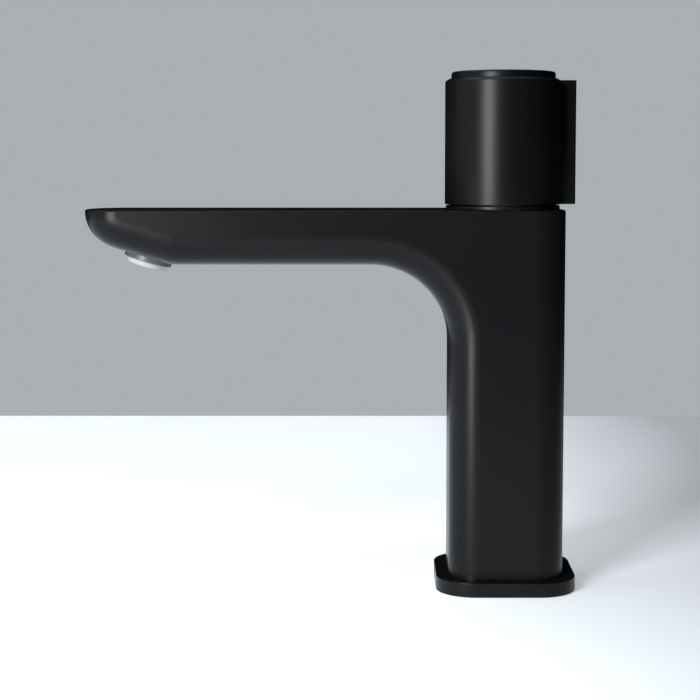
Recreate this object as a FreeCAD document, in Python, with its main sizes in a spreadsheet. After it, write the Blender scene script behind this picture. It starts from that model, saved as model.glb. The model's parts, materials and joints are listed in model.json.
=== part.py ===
import FreeCAD, Part
import math
import os
import re
import Sketcher

# A deck-mounted basin mixer: a square column with a flat spout, a turning handle on top that sets
# the temperature, and a push button in the handle that starts and stops the water.
# Frame, in millimetres: the origin is on the deck plane, on the tap hole's axis. +Z is up and the
# spout points along -X. The handle and the cartridge share an axis a little in front of the column's.

driving_sizes = {
    # column, spout and their blends
    "column_side": 42.4,
    "blend_radius": 11.0,
    "elbow_radius": 29.0,
    "foot_level": 5.3,
    "foot_spigot_radius": 17.0,
    "foot_spigot_depth": 3.3,
    "body_top": 140.5,
    "top_rounding": 0.7,
    "spout_underside": 120.5,
    "spout_reach": 155.7,
    # spout nose: two arcs run down from the tip to the slanted outlet seat
    "nose_wall_overhang": 0.5,
    "nose_lean": 6.0,
    "nose_break": 40.0,
    "nose_upper_radius": 13.5,
    "nose_lower_radius": 22.0,
    "seat_tilt": 16.5,
    "seat_blend_radius": 14.0,
    "nose_front_radius": 38.0,
    "nose_corner_radius": 12.4,
    # waterways
    "chamber_floor": 104.0,
    "chamber_radius": 17.6,
    "pilot_recess_radius": 5.2,
    "pilot_recess_depth": 2.8,
    "channel_half_width": 12.0,
    "low_channel_floor": 124.5,
    "low_channel_roof": 130.8,
    "low_channel_end": 112.0,
    "high_channel_roof": 136.8,
    "high_channel_end": 131.0,
    "high_channel_start": 32.0,
    "throat_radius": 5.6,
    "supply_half_length": 17.3,
    "supply_inner_wall": 1.6,
    "supply_outer_wall": 17.3,
    "supply_low": 22.0,
    "supply_high": 96.0,
    "supply_corner_radius": 5.5,
    "port_radius": 3.2,
    "port_offset": 8.2,
    "inlet_radius": 4.5,
    "inlet_x": -4.5,
    "inlet_offset": 5.9,
    # deck side
    "plate_side": 51.7,
    "plate_corner_radius": 14.6,
    "plate_edge_rounding": 0.4,
    "gasket_inner": 19.5,
    "gasket_outer": 22.5,
    "gasket_thickness": 1.2,
    "stud_x": 11.5,
    "stud_radius": 4.0,
    "stud_top": 18.0,
    "stud_bottom": -48.0,
    "stud_chamfer": 0.8,
    "clamp_level": -22.0,
    "clamp_radius": 24.0,
    "clamp_slot_radius": 10.5,
    "clamp_hole_radius": 4.3,
    "rubber_thickness": 3.0,
    "bracket_thickness": 2.0,
    "nut_across_corners": 7.5,
    "nut_height": 6.5,
    # handle and cartridge axis
    "axis_x": -1.1,
    # cartridge
    "base_height": 6.0,
    "cartridge_fit_radius": 17.4,
    "disc_radius": 12.6,
    "disc_thickness": 3.5,
    "running_gap": 0.05,
    "disc_port_radius": 2.6,
    "stem_port_radius": 3.4,
    "carrier_thickness": 4.0,
    "spindle_radius": 6.0,
    "spindle_bore": 3.06,
    "spindle_top": 171.0,
    "housing_bore": 13.0,
    "housing_radius": 15.6,
    "housing_roof": 121.4,
    "flange_low": 131.0,
    "flange_high": 135.0,
    "neck_radius": 10.5,
    "neck_top": 147.0,
    "lug_inner": 7.5,
    "lug_outer": 10.4,
    "lug_top": 150.0,
    "lug_angle": 40.0,
    "turn_each_way": 45.0,
    "retaining_outer": 17.5,
    "retaining_inner": 10.8,
    "retaining_top": 141.4,
    # collar under the handle
    "collar_radius": 21.1,
    "collar_inner": 17.8,
    "collar_spigot": 18.7,
    "collar_spigot_depth": 1.5,
    "collar_top": 141.95,
    # handle
    "sleeve_radius": 21.5,
    "sleeve_bore": 19.6,
    "sleeve_low": 142.35,
    "sleeve_top": 188.4,
    "sleeve_bevel_width": 1.9,
    "sleeve_bevel_drop": 1.2,
    "ledge_low": 164.0,
    "ledge_high": 167.0,
    "ledge_inner": 14.2,
    "hub_radius": 11.0,
    "hub_low": 152.2,
    "hub_high": 168.0,
    "hub_flange_low": 160.0,
    "limit_ring_radius": 11.4,
    "clip_groove_radius": 5.4,
    "clip_radius": 8.6,
    "clip_thickness": 1.0,
    "fin_root": 20.3,
    "fin_reach": 26.8,
    "fin_thickness": 3.0,
    "fin_top": 187.9,
    "sleeve_screw_circle": 16.8,
    "sleeve_screw_radius": 1.5,
    "sleeve_screw_head_radius": 2.5,
    "sleeve_screw_head_height": 2.2,
    "sleeve_screw_tip": 160.6,
    "fin_screw_radius": 1.1,
    "fin_screw_head_radius": 1.9,
    "fin_screw_head_inner": 18.1,
    "fin_screw_tip": 24.6,
    "fin_screw_low": 151.0,
    "fin_screw_high": 174.4,
    # push button
    "cap_radius": 19.2,
    "cap_top": 190.9,
    "cap_low": 181.0,
    "cap_roof": 2.0,
    "cap_wall": 1.8,
    "cap_rounding": 0.8,
    "plunger_radius": 17.0,
    "plunger_disc": 2.6,
    "boss_radius": 5.0,
    "boss_low": 176.0,
    "stem_radius": 3.0,
    "stem_tip_radius": 2.2,
    "stem_step": 122.5,
    "stem_low": 107.0,
    "stem_top": 184.0,
    "poppet_radius": 4.3,
    "poppet_low": 105.6,
    "poppet_high": 108.6,
    "spring_seat_radius": 12.0,
    "spring_seat_thickness": 1.3,
    "spring_radius": 8.6,
    "spring_wire": 0.6,
    "spring_turns": 5.0,
    # outlet, along the seat's own axis: positive sizes run up into the spout
    "outlet_x": -132.5,
    "outlet_radius": 8.9,
    "outlet_depth": 7.5,
    "outlet_ring_radius": 8.85,
    "outlet_ring_bore": 8.0,
    "outlet_ring_drop": 2.1,
    "insert_radius": 7.95,
    "insert_tip_radius": 7.1,
    "insert_drop": 3.9,
    "insert_top": 2.4,
    "insert_recess_radius": 6.2,
    "insert_recess_depth": 1.2,
    "insert_hole_radius": 0.8,
    "insert_hole_pitch": 2.5,
    "regulator_top": 4.6,
    "screen_thickness": 0.6,
    "washer_bore": 5.8,
    "washer_thickness": 1.6,
}

RUNS_PER_TURN = 10
ARC_SHARE = 0.45

doc = FreeCAD.newDocument("basin_mixer")
sheet = doc.addObject("Spreadsheet::Sheet", "sizes")
for row, (alias, size) in enumerate(driving_sizes.items(), start=1):
    sheet.set("A%d" % row, alias)
    sheet.set("B%d" % row, str(size))
    sheet.setAlias("B%d" % row, alias)
doc.recompute()

names = {}


def linked(expression):
    # An expression in plain aliases becomes one that reads the sheet's cells.
    return re.sub(r"[a-z][a-z_]*", lambda word: "sizes." + word.group()
                  if word.group() in driving_sizes else word.group(), expression)


def bind(piece, **expressions):
    for field, expression in expressions.items():
        piece.setExpression(field.replace("__", "."), linked(expression))


def named(piece, node):
    piece.Label = node
    names[node] = piece
    return piece


def profile(body, plane_role, corners, name):
    # A closed outline of straight runs. Each corner is held at its two distances from the origin.
    sketch = body.newObject("Sketcher::SketchObject", name)
    plane = next(plane for plane in body.Origin.OriginFeatures if plane.Role == plane_role)
    sketch.AttachmentSupport = [(plane, "")]
    sketch.MapMode = "FlatFace"
    count = len(corners)
    seeds = [FreeCAD.Vector(math.cos(math.tau * place / count), math.sin(math.tau * place / count), 0)
             for place in range(count)]
    for place in range(count):
        sketch.addGeometry(Part.LineSegment(seeds[place], seeds[(place + 1) % count]), False)
    for place, (across, up) in enumerate(corners):
        sketch.addConstraint(Sketcher.Constraint("Coincident", place, 2, (place + 1) % count, 1))
        for kind, expression in (("DistanceX", across), ("DistanceY", up)):
            held = sketch.addConstraint(Sketcher.Constraint(kind, -1, 1, place, 1, 1.0))
            sketch.setExpression("Constraints[%d]" % held, linked(expression))
    return sketch


def turned(name, corners, centre="axis_x"):
    # A solid of revolution about a vertical axis, from (radius, level) corners.
    body = doc.addObject("PartDesign::Body", name)
    sketch = profile(body, "XZ_Plane", corners, name + "_profile")
    turn = body.newObject("PartDesign::Revolution", name + "_turn")
    turn.Profile = sketch
    turn.ReferenceAxis = (sketch, ["V_Axis"])
    turn.Angle = 360
    bind(body, Placement__Base__x=centre)
    return body


def ring(name, inner, outer, low, high, centre="axis_x"):
    return turned(name, [(inner, low), (outer, low), (outer, high), (inner, high)], centre)


def rod(name, radius, low, high, across="axis_x", aside="0"):
    piece = doc.addObject("Part::Cylinder", name)
    bind(piece, Radius=radius, Height="%s - (%s)" % (high, low), Placement__Base__x=across,
         Placement__Base__y=aside, Placement__Base__z=low)
    return piece


def block(name, low, high):
    piece = doc.addObject("Part::Box", name)
    bind(piece, Length="%s - (%s)" % (high[0], low[0]), Width="%s - (%s)" % (high[1], low[1]),
         Height="%s - (%s)" % (high[2], low[2]), Placement__Base__x=low[0],
         Placement__Base__y=low[1], Placement__Base__z=low[2])
    return piece


def group(name, pieces):
    joined = doc.addObject("Part::Compound", name)
    joined.Links = pieces
    return joined


def fused(name, pieces):
    joined = doc.addObject("Part::MultiFuse", name)
    joined.Shapes = pieces
    return joined


def cut(name, base, tools):
    tool = tools[0] if len(tools) == 1 else group(name + "_tools", tools)
    result = doc.addObject("Part::Cut", name)
    result.Base = base
    result.Tool = tool
    return result


def rounded(name, base, radius, wanted):
    # Rounds the edges of base that the test picks. The radius comes from the sheet.
    doc.recompute()
    result = doc.addObject("Part::Fillet", name)
    result.Base = base
    size = sheet.get(radius)
    result.Edges = [(place, size, size) for place, edge in enumerate(base.Shape.Edges, start=1)
                    if wanted(edge)]
    return result


def is_upright(edge):
    box = edge.BoundBox
    return box.XLength < 1e-3 and box.YLength < 1e-3


def rounded_slab(name, side, low, high, corner_radius):
    # A square slab about the origin with rounded corners.
    half = "%s / 2" % side
    slab = block(name + "_blank", ("-" + half, "-" + half, low), (half, half, high))
    return rounded(name, slab, corner_radius, is_upright)


def tilted(piece):
    # Turns a piece made about the vertical axis onto the slanted outlet seat.
    piece.Placement.Rotation = FreeCAD.Rotation(FreeCAD.Vector(0, 1, 0), sheet.get("seat_tilt"))
    bind(piece, Placement__Rotation__Angle="seat_tilt", Placement__Base__x="outlet_x")
    piece.Placement.Base.z = seat_level()
    return piece


# Body casting --------------------------------------------------------------------------------

def nose_points():
    # The nose's side outline: centre and ends of its two arcs, then the seat's end at the underside.
    lean = math.radians(sheet.get("nose_lean"))
    turn_over = math.radians(sheet.get("nose_break"))
    tilt = math.radians(sheet.get("seat_tilt"))
    upper = sheet.get("nose_upper_radius")
    lower = sheet.get("nose_lower_radius")
    start = FreeCAD.Vector(-sheet.get("spout_reach") - sheet.get("nose_wall_overhang"), 0,
                           sheet.get("body_top"))

    def on_arc(centre, radius, angle):
        return centre - FreeCAD.Vector(radius * math.cos(angle), 0, radius * math.sin(angle))

    upper_centre = start + FreeCAD.Vector(upper * math.cos(lean), 0, upper * math.sin(lean))
    upper_end = on_arc(upper_centre, upper, turn_over)
    lower_centre = upper_end + FreeCAD.Vector(lower * math.cos(turn_over), 0,
                                              lower * math.sin(turn_over))
    seat_angle = math.pi / 2 - tilt
    seat_start = on_arc(lower_centre, lower, seat_angle)
    return (start, on_arc(upper_centre, upper, (lean + turn_over) / 2), upper_end,
            on_arc(lower_centre, lower, (turn_over + seat_angle) / 2), seat_start)


def seat_level():
    # Height of the slanted seat at the outlet's centre.
    seat_start = nose_points()[-1]
    slope = math.tan(math.radians(sheet.get("seat_tilt")))
    return seat_start.z - (sheet.get("outlet_x") - seat_start.x) * slope


def side_wire():
    # The casting seen from the side: nose, seat, underside, elbow, column.
    start, upper_middle, upper_end, lower_middle, seat_start = nose_points()
    half = sheet.get("column_side") / 2
    under = sheet.get("spout_underside")
    elbow = sheet.get("elbow_radius")
    blend = sheet.get("seat_blend_radius")
    tilt = math.radians(sheet.get("seat_tilt"))
    meeting = seat_start.x + (seat_start.z - under) / math.tan(tilt)
    tangent = blend * math.tan(tilt / 2)
    blend_start = FreeCAD.Vector(meeting - tangent * math.cos(tilt), 0,
                                 under + tangent * math.sin(tilt))
    blend_end = FreeCAD.Vector(meeting + tangent, 0, under)
    blend_middle = FreeCAD.Vector(blend_end.x - blend * math.sin(tilt / 2), 0,
                                  under + blend - blend * math.cos(tilt / 2))
    elbow_start = FreeCAD.Vector(-half - elbow, 0, under)
    elbow_end = FreeCAD.Vector(-half, 0, under - elbow)
    elbow_middle = FreeCAD.Vector(-half - elbow + elbow * math.sin(math.pi / 4), 0,
                                  under - elbow + elbow * math.cos(math.pi / 4))
    foot = sheet.get("foot_level")
    top = sheet.get("body_top")
    front_foot = FreeCAD.Vector(-half, 0, foot)
    rear_foot = FreeCAD.Vector(half, 0, foot)
    rear_top = FreeCAD.Vector(half, 0, top)
    runs = [
        Part.Arc(start, upper_middle, upper_end),
        Part.Arc(upper_end, lower_middle, seat_start),
        Part.LineSegment(seat_start, blend_start),
        Part.Arc(blend_start, blend_middle, blend_end),
        Part.LineSegment(blend_end, elbow_start),
        Part.Arc(elbow_start, elbow_middle, elbow_end),
        Part.LineSegment(elbow_end, front_foot),
        Part.LineSegment(front_foot, rear_foot),
        Part.LineSegment(rear_foot, rear_top),
        Part.LineSegment(rear_top, start),
    ]
    return Part.Wire([run.toShape() for run in runs])


def plan_points():
    # The nose seen from above: a shallow front arc and two corner arcs, on the +Y side.
    half = sheet.get("column_side") / 2
    front = sheet.get("nose_front_radius")
    corner = sheet.get("nose_corner_radius")
    front_centre = FreeCAD.Vector(front - sheet.get("spout_reach"), 0, 0)
    aside = half - corner
    corner_centre = FreeCAD.Vector(front_centre.x - math.sqrt((front - corner) ** 2 - aside ** 2),
                                   aside, 0)
    outward = (corner_centre - front_centre).normalize()
    meeting = front_centre + outward * front
    corner_middle = corner_centre + (outward + FreeCAD.Vector(0, 1, 0)).normalize() * corner
    return meeting, corner_middle, FreeCAD.Vector(corner_centre.x, half, 0)


def plan_wire():
    meeting, corner_middle, side_start = plan_points()
    half = sheet.get("column_side") / 2

    def mirrored(point):
        return FreeCAD.Vector(point.x, -point.y, 0)

    rear = FreeCAD.Vector(half, half, 0)
    tip = FreeCAD.Vector(-sheet.get("spout_reach"), 0, 0)
    runs = [
        Part.Arc(mirrored(meeting), tip, meeting),
        Part.Arc(meeting, corner_middle, side_start),
        Part.LineSegment(side_start, rear),
        Part.LineSegment(rear, mirrored(rear)),
        Part.LineSegment(mirrored(rear), mirrored(side_start)),
        Part.Arc(mirrored(side_start), mirrored(corner_middle), mirrored(meeting)),
    ]
    return Part.Wire([run.toShape() for run in runs])


def casting_skin():
    # Where the side outline and the plan meet, one blend runs round the nose, along the spout's
    # lower edges, through the elbow and down the column's front corners.
    side = sheet.get("column_side")
    half = side / 2
    blend = sheet.get("blend_radius")
    top = sheet.get("body_top")
    solid = Part.Face(side_wire()).extrude(FreeCAD.Vector(0, side, 0))
    solid.translate(FreeCAD.Vector(0, -half, 0))
    solid = solid.common(Part.Face(plan_wire()).extrude(FreeCAD.Vector(0, 0, 2 * top)))
    solid = solid.makeFillet(blend, [edge for edge in solid.Edges
                                     if is_upright(edge) and edge.BoundBox.XMin > half - 1e-3])

    def is_lower_edge(edge):
        box = edge.BoundBox
        if box.ZMax > top - 1 or box.ZMin < sheet.get("foot_level") - 1e-3:
            return False
        if box.XMax > -half + 1e-3 or (box.YLength > side - 1e-3):
            return False
        across_seams = box.XMax - box.XMin < 1e-3 and box.ZLength < 1e-3
        nose_wall = is_upright(edge) and box.XMax < -side
        return not (across_seams or nose_wall)

    solid = solid.makeFillet(blend, [edge for edge in solid.Edges if is_lower_edge(edge)])
    upper = [edge for edge in solid.Edges if edge.BoundBox.ZMin > top - 1e-3]
    return solid.makeFillet(sheet.get("top_rounding"), upper)


def make_body():
    skin = doc.addObject("Part::Feature", "casting_skin")
    skin.Shape = casting_skin()
    spigot = rod("foot_spigot", "foot_spigot_radius", "foot_level - foot_spigot_depth",
                 "foot_level + 1", "0")
    solid = fused("casting", [skin, spigot])
    outlet = ring("outlet_bore", "0", "outlet_radius", "-outlet_radius", "outlet_depth", "0")
    throat = ring("throat", "0", "throat_radius", "outlet_depth - 1", "outlet_depth + 4", "0")
    waterways = [
        rod("cartridge_chamber", "chamber_radius", "chamber_floor", "body_top + 1"),
        rod("collar_counterbore", "collar_spigot + running_gap", "body_top - collar_spigot_depth",
            "body_top + 1"),
        rod("pilot_recess", "pilot_recess_radius", "chamber_floor - pilot_recess_depth",
            "chamber_floor + 1"),
        block("low_channel", ("-low_channel_end", "-channel_half_width", "low_channel_floor"),
              ("axis_x", "channel_half_width", "low_channel_roof")),
        block("high_channel", ("-high_channel_end", "-channel_half_width",
                               "low_channel_roof - 0.1"),
              ("-high_channel_start", "channel_half_width", "high_channel_roof")),
        tilted(throat),
        rod("stud_hole", "stud_radius + running_gap", "foot_level - foot_spigot_depth - 1",
            "stud_top", "stud_x"),
        tilted(outlet),
    ]
    for side, sign in (("hot", ""), ("cold", "-")):
        inner = sign + "supply_inner_wall"
        outer = sign + "supply_outer_wall"
        low_wall, high_wall = (inner, outer) if sign == "" else (outer, inner)
        chamber = block(side + "_chamber_blank", ("-supply_half_length", low_wall, "supply_low"),
                        ("supply_half_length", high_wall, "supply_high"))
        waterways += [
            rounded(side + "_chamber", chamber, "supply_corner_radius", is_upright),
            rod(side + "_inlet", "inlet_radius", "foot_level - foot_spigot_depth - 1",
                "supply_low + 1", "inlet_x", sign + "inlet_offset"),
            rod(side + "_port", "port_radius", "supply_high - 1", "chamber_floor + 1", "axis_x",
                sign + "port_offset"),
        ]
    named(cut("body_casting", solid, waterways), "body")


# Deck side -----------------------------------------------------------------------------------

def make_deck_pieces():
    slab = rounded_slab("plate_slab", "plate_side", "0", "foot_level", "plate_corner_radius")
    edged = rounded("plate_edged", slab, "plate_edge_rounding",
                    lambda edge: edge.BoundBox.ZMin > sheet.get("foot_level") - 1e-3)
    plate_bore = rod("plate_bore", "foot_spigot_radius + running_gap", "-1", "foot_level + 1", "0")
    groove = ring("gasket_groove", "gasket_inner", "gasket_outer", "-1", "gasket_thickness", "0")
    named(cut("plate_cut", edged, [plate_bore, groove]), "base_plate")
    named(ring("gasket_ring", "gasket_inner", "gasket_outer", "0", "gasket_thickness", "0"),
          "base_gasket")
    named(turned("stud", [
        ("0", "stud_bottom"),
        ("stud_radius - stud_chamfer", "stud_bottom"),
        ("stud_radius", "stud_bottom + stud_chamfer"),
        ("stud_radius", "stud_top"),
        ("0", "stud_top"),
    ], "stud_x"), "mounting_stud")

    def horseshoe(name, low, high):
        disc = rod(name + "_disc", "clamp_radius", low, high, "0")
        slot_end = rod(name + "_slot_end", "clamp_slot_radius", low + " - 1", high + " + 1",
                       "inlet_x")
        slot = block(name + "_slot", ("-clamp_radius - 1", "-clamp_slot_radius", low + " - 1"),
                     ("inlet_x", "clamp_slot_radius", high + " + 1"))
        hole = rod(name + "_hole", "clamp_hole_radius", low + " - 1", high + " + 1", "stud_x")
        opening = fused(name + "_opening", [slot_end, slot])
        return cut(name, disc, [opening, hole])

    bracket_top = "clamp_level - rubber_thickness"
    nut_top = bracket_top + " - bracket_thickness"
    named(horseshoe("rubber_shoe", bracket_top, "clamp_level"), "clamp_washer")
    named(horseshoe("steel_shoe", nut_top, bracket_top), "clamp_bracket")
    nut = doc.addObject("Part::Prism", "nut_blank")
    nut.Polygon = 6
    bind(nut, Circumradius="nut_across_corners", Height="nut_height", Placement__Base__x="stud_x",
         Placement__Base__z=nut_top + " - nut_height")
    nut_hole = rod("nut_hole", "stud_radius", nut_top + " - nut_height - 1", nut_top + " + 1",
                   "stud_x")
    named(cut("nut", nut, [nut_hole]), "mounting_nut")


# Cartridge -----------------------------------------------------------------------------------

def ports(name, low, high, radius):
    return [rod(name + "_port_%d" % count, radius, low, high, "axis_x", side + "port_offset")
            for count, side in enumerate(("", "-"))]


def make_cartridge():
    base_top = "chamber_floor + base_height"
    fixed_top = base_top + " + disc_thickness"
    base = ring("base_blank", "pilot_recess_radius", "cartridge_fit_radius", "chamber_floor",
                base_top)
    outlet_window = block("outlet_window", ("axis_x - cartridge_fit_radius - 1", "-4",
                                            "chamber_floor + 1.5"),
                          ("axis_x", "4", base_top + " - 1.5"))
    base_ports = [rod("base_port_%d" % count, "port_radius - 0.6", "chamber_floor - 1",
                      base_top + " + 1", "axis_x", side + "port_offset")
                  for count, side in enumerate(("", "-"))]
    outlet_notch = block("outlet_notch", ("axis_x - cartridge_fit_radius - 1", "-4",
                                          "chamber_floor + 1.5"),
                         ("axis_x - housing_radius", "4", base_top + " + 1"))
    named(cut("base_cut", base, base_ports + [outlet_window, outlet_notch]), "cartridge_base")

    fixed = ring("fixed_blank", "stem_port_radius", "disc_radius + 0.3", base_top, fixed_top)
    named(cut("fixed_cut", fixed, ports("fixed", base_top + " - 1", fixed_top + " + 1",
                                        "disc_port_radius")), "fixed_ceramic_disc")
    moving_low = fixed_top + " + running_gap"
    moving_high = moving_low + " + disc_thickness"
    named(ring("moving_disc", "stem_port_radius - 0.8", "disc_radius", moving_low, moving_high),
          "moving_ceramic_disc")
    carrier_top = moving_high + " + carrier_thickness"
    named(turned("carrier", [
        ("spindle_bore", moving_high),
        ("disc_radius", moving_high),
        ("disc_radius", "(" + carrier_top + ") - 0.2"),
        ("spindle_radius", "(" + carrier_top + ") - 0.2"),
        ("spindle_radius", "hub_high"),
        ("clip_groove_radius", "hub_high"),
        ("clip_groove_radius", "hub_high + clip_thickness"),
        ("spindle_radius", "hub_high + clip_thickness"),
        ("spindle_radius", "spindle_top"),
        ("spindle_bore", "spindle_top"),
    ]), "temperature_spindle")

    bore = "spindle_radius + running_gap"
    seal_seat = "spindle_radius + 1.6"
    housing = turned("housing_blank", [
        ("housing_bore", base_top),
        ("housing_radius", base_top),
        ("housing_radius", "flange_low"),
        ("cartridge_fit_radius", "flange_low"),
        ("cartridge_fit_radius", "flange_low + 1"),
        ("housing_radius + 0.2", "flange_low + 1"),
        ("housing_radius + 0.2", "flange_high - 1.2"),
        ("cartridge_fit_radius", "flange_high - 1.2"),
        ("cartridge_fit_radius", "flange_high"),
        ("neck_radius", "flange_high"),
        ("neck_radius", "neck_top"),
        (bore, "neck_top"),
        (bore, "flange_high + 4"),
        (seal_seat, "flange_high + 4"),
        (seal_seat, "flange_high + 2.4"),
        (bore, "flange_high + 2.4"),
        (bore, "housing_roof"),
        ("housing_bore", "housing_roof"),
    ])
    lug = stop_sector("housing_lug", "neck_top - 0.5", "lug_top", 180, "lug_angle")
    named(fused("housing", [housing, lug]), "cartridge_housing")
    named(ring("spindle_ring", bore, seal_seat, "flange_high + 2.4", "flange_high + 4"),
          "spindle_seal")
    named(ring("flange_ring", "housing_radius + 0.2", "retaining_outer", "flange_low + 1",
               "flange_high - 1.2"), "housing_seal")

    nut = ring("retaining_blank", "retaining_inner", "retaining_outer", "flange_high",
               "retaining_top")
    slots = [block("retaining_slot_%s" % place, low, high) for place, low, high in (
        ("along", ("axis_x - 20", "-2", "retaining_top - 2"),
         ("axis_x + 20", "2", "retaining_top + 1")),
        ("across", ("axis_x - 2", "-20", "retaining_top - 2"),
         ("axis_x + 2", "20", "retaining_top + 1")))]
    named(cut("retaining_cut", nut, slots), "cartridge_nut")


def stop_sector(name, low, high, facing, angle):
    # A part of a ring about the handle's axis, centred on the given direction in degrees.
    outer = rod(name + "_outer", "lug_outer", low, high)
    inner = rod(name + "_inner", "lug_inner", low + " - 1", high + " + 1")
    start = "%d - (%s) / 2" % (facing, angle)
    outer.Placement.Rotation = FreeCAD.Rotation(FreeCAD.Vector(0, 0, 1), 1)
    bind(outer, Angle=angle, Placement__Rotation__Angle=start)
    return cut(name, outer, [inner])


# Collar and handle ---------------------------------------------------------------------------

def make_handle():
    named(turned("collar", [
        ("collar_inner", "body_top - collar_spigot_depth"),
        ("collar_spigot", "body_top - collar_spigot_depth"),
        ("collar_spigot", "body_top"),
        ("collar_radius", "body_top"),
        ("collar_radius", "collar_top"),
        ("collar_inner", "collar_top"),
    ]), "collar_ring")

    sleeve = turned("sleeve_blank", [
        ("sleeve_bore", "sleeve_low"),
        ("sleeve_radius", "sleeve_low"),
        ("sleeve_radius", "sleeve_top - sleeve_bevel_drop"),
        ("sleeve_radius - sleeve_bevel_width / 4", "sleeve_top - sleeve_bevel_drop / 4"),
        ("sleeve_radius - sleeve_bevel_width + 0.4", "sleeve_top"),
        ("sleeve_bore", "sleeve_top"),
        ("sleeve_bore", "ledge_high"),
        ("ledge_inner", "ledge_high"),
        ("ledge_inner", "ledge_low"),
        ("sleeve_bore", "ledge_low"),
    ])
    fin_half = "fin_thickness / 2"
    fin_slot = block("fin_slot", ("axis_x + fin_root", "-" + fin_half, "sleeve_low - 1"),
                     ("axis_x + fin_reach", fin_half, "fin_top"))
    screw_angles = (60, 180, 300)
    ledge_holes = [screw_rod("ledge_hole", angle, "sleeve_screw_radius + 0.1", "ledge_low - 1",
                             "ledge_high + 1") for angle in screw_angles]
    fin_holes = [fin_rod("fin_hole", level, "fin_screw_radius", "sleeve_bore - 1", "fin_root + 1")
                 for level in ("fin_screw_low", "fin_screw_high")]
    named(cut("sleeve", sleeve, [fin_slot] + ledge_holes + fin_holes), "handle_sleeve")

    fin = block("fin_blank", ("axis_x + fin_root", "-" + fin_half, "sleeve_low"),
                ("axis_x + fin_reach", fin_half, "fin_top"))
    fin_taps = [fin_rod("fin_tap", level, "fin_screw_radius", "fin_root - 1", "fin_screw_tip")
                for level in ("fin_screw_low", "fin_screw_high")]
    named(cut("fin", fin, fin_taps), "lever_fin")
    fin_screws = []
    for level in ("fin_screw_low", "fin_screw_high"):
        shank = fin_rod("fin_shank", level, "fin_screw_radius", "sleeve_bore - 0.5", "fin_screw_tip")
        head = fin_rod("fin_head", level, "fin_screw_head_radius", "fin_screw_head_inner",
                       "sleeve_bore - 0.25")
        fin_screws.append(fused("fin_screw", [shank, head]))
    named(group("fin_screw_pair", fin_screws), "fin_screws")

    hub = turned("hub_blank", [
        ("spindle_radius", "hub_low"),
        ("hub_radius", "hub_low"),
        ("hub_radius", "hub_flange_low"),
        ("sleeve_bore", "hub_flange_low"),
        ("sleeve_bore", "ledge_low"),
        ("hub_radius", "ledge_low"),
        ("hub_radius", "hub_high"),
        ("spindle_radius", "hub_high"),
    ])
    hub_holes = [screw_rod("hub_hole", angle, "sleeve_screw_radius", "hub_flange_low - 1",
                           "ledge_low + 1") for angle in screw_angles]
    named(cut("hub", hub, hub_holes), "handle_hub")
    sleeve_screws = []
    for angle in screw_angles:
        shank = screw_rod("sleeve_shank", angle, "sleeve_screw_radius", "sleeve_screw_tip",
                          "ledge_high + 0.5")
        head = screw_rod("sleeve_head", angle, "sleeve_screw_head_radius", "ledge_high",
                         "ledge_high + sleeve_screw_head_height")
        sleeve_screws.append(fused("sleeve_screw", [shank, head]))
    named(group("sleeve_screw_set", sleeve_screws), "sleeve_screws")

    # The lug on the limit ring leaves the housing's lug room to turn both ways.
    ring_low = "hub_low - 2"
    limit = ring("limit_blank", "spindle_radius", "limit_ring_radius", ring_low, "hub_low")
    stop = stop_sector("limit_lug", "neck_top + 0.4", ring_low + " + 0.5", 0,
                       "359 - lug_angle - 2 * turn_each_way")
    named(fused("limit", [limit, stop]), "temperature_limit_ring")
    named(ring("clip", "clip_groove_radius", "clip_radius", "hub_high",
               "hub_high + clip_thickness"), "spindle_clip")


def screw_rod(name, angle, radius, low, high):
    return rod("%s_%d" % (name, angle), radius, low, high,
               "axis_x + sleeve_screw_circle * cos(%d deg)" % angle,
               "sleeve_screw_circle * sin(%d deg)" % angle)


def fin_rod(name, level, radius, inner, outer):
    # A rod that lies along +X from the handle's axis, at one of the fin's screw levels.
    piece = doc.addObject("Part::Cylinder", name)
    piece.Placement.Rotation = FreeCAD.Rotation(FreeCAD.Vector(0, 1, 0), 90)
    bind(piece, Radius=radius, Height="%s - (%s)" % (outer, inner),
         Placement__Base__x="axis_x + " + inner, Placement__Base__z=level)
    return piece


# Push button ---------------------------------------------------------------------------------

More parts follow.
